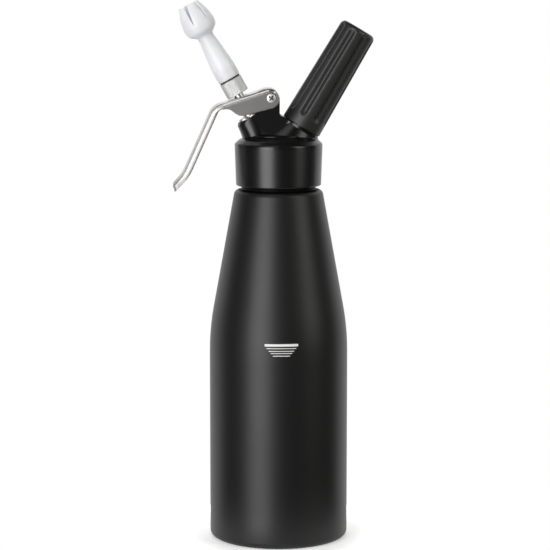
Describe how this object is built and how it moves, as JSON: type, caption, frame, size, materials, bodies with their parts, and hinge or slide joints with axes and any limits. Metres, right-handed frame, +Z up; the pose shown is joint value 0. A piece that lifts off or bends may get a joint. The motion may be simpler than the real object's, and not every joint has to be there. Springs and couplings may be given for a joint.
{
  "type": "whipped cream dispenser",
  "caption": "Cream whipper: tapered bottle, screw-on head with squeeze lever and spring valve, tulip nozzle and tilted gas charger holder.",
  "frame": {"origin": "centre of the bottle's flat base, on the surface it stands on", "axes": "+Z up the bottle, -X towards the lever and nozzle, +X towards the charger holder, -Y the side seen from the front"},
  "size_m": [0.1383, 0.096, 0.3747],
  "materials": {
    "bottle_black": "satin black anodised outside",
    "head_black": "satin black coated casting",
    "polished_steel": "polished stainless sheet",
    "turned_steel": "turned stainless",
    "knurled_steel": "fine straight knurl",
    "screw_steel": "polished",
    "spring_steel": "drawn wire",
    "brass_nickel": "nickelled brass",
    "gasket_rubber": "soft silicone",
    "black_rubber": "matt",
    "clear_rubber": "soft silicone",
    "white_plastic": "smooth",
    "black_plastic": "fine texture",
    "charger_steel": "zinc plated"
  },
  "bodies": {
    "bottle_body": {"bottle": "bottle_black"},
    "head_seal": {"head_gasket": "gasket_rubber"},
    "head": {"head_body": "head_black", "knurled_nut": "turned_steel", "guide_bush": "turned_steel", "stem_o_ring": "black_rubber", "bush_gasket": "black_rubber", "spring_seat": "turned_steel", "valve_spring": "spring_steel", "valve_seat": "turned_steel", "pivot_screw": "screw_steel", "pivot_barrel": "screw_steel", "pivot_washers": "clear_rubber", "charger_spigot": "turned_steel", "piercing_pin": "turned_steel", "pin_nut": "brass_nickel", "charger_seal": "black_rubber", "check_valve": "clear_rubber"},
    "lever_arm": {"lever": "polished_steel"},
    "valve": {"valve_stem": "turned_steel", "stem_plug": "clear_rubber", "plug_nut": "turned_steel", "thrust_washer": "turned_steel", "stem_clip": "turned_steel", "nozzle_adapter": "knurled_steel"},
    "nozzle_seal": {"nozzle_ring": "black_rubber"},
    "nozzle": {"tulip_nozzle": "white_plastic"},
    "charger": {"gas_charger": "charger_steel"},
    "holder": {"charger_holder": "black_plastic"}
  },
  "joints": [
    {"name": "head_lift", "type": "slide", "parent": "bottle_body", "child": "head_seal", "axis": [0, 0, 1], "range_m": [0, 0.013]},
    {"name": "head_thread", "type": "hinge", "parent": "head_seal", "child": "head", "pos_m": [0, 0, 0.25], "axis": [0, 0, 1], "range_deg": [0, 1170]},
    {"name": "lever_pivot", "type": "hinge", "parent": "head", "child": "lever_arm", "pos_m": [-0.00547, 0, 0.30785], "axis": [0, -1, 0], "range_deg": [0, 9], "stiffness_Nm_per_rad": 0.3, "springref_deg": -20.05},
    {"name": "valve_slide", "type": "slide", "parent": "head", "child": "valve", "axis": [0.4894, 0, -0.8721], "range_m": [0, 0.00235], "stiffness_N_per_m": 2500, "springref_m": -0.004, "deforming": ["valve_spring"]},
    {"name": "nozzle_lift", "type": "slide", "parent": "valve", "child": "nozzle_seal", "axis": [-0.4894, 0, 0.8721], "range_m": [0, 0.0045]},
    {"name": "nozzle_thread", "type": "hinge", "parent": "nozzle_seal", "child": "nozzle", "pos_m": [-0.0194, 0, 0.29488], "axis": [-0.4894, 0, 0.8721], "range_deg": [0, 1080]},
    {"name": "charger_lift", "type": "slide", "parent": "head", "child": "charger", "axis": [0.5105, 0, 0.8599], "range_m": [0, 0.01]},
    {"name": "holder_thread", "type": "hinge", "parent": "charger", "child": "holder", "pos_m": [0, 0, 0.2616], "axis": [0.5105, 0, 0.8599], "range_deg": [0, 1440]}
  ],
  "couplings": [
    {"joint": "head_thread", "follows": "head_lift", "rad_per_m": 1570.8},
    {"joint": "lever_pivot", "follows": "valve_slide", "rad_per_m": 66.667},
    {"joint": "nozzle_thread", "follows": "nozzle_lift", "rad_per_m": 4188.8},
    {"joint": "holder_thread", "follows": "charger_lift", "rad_per_m": 2513.3}
  ]
}
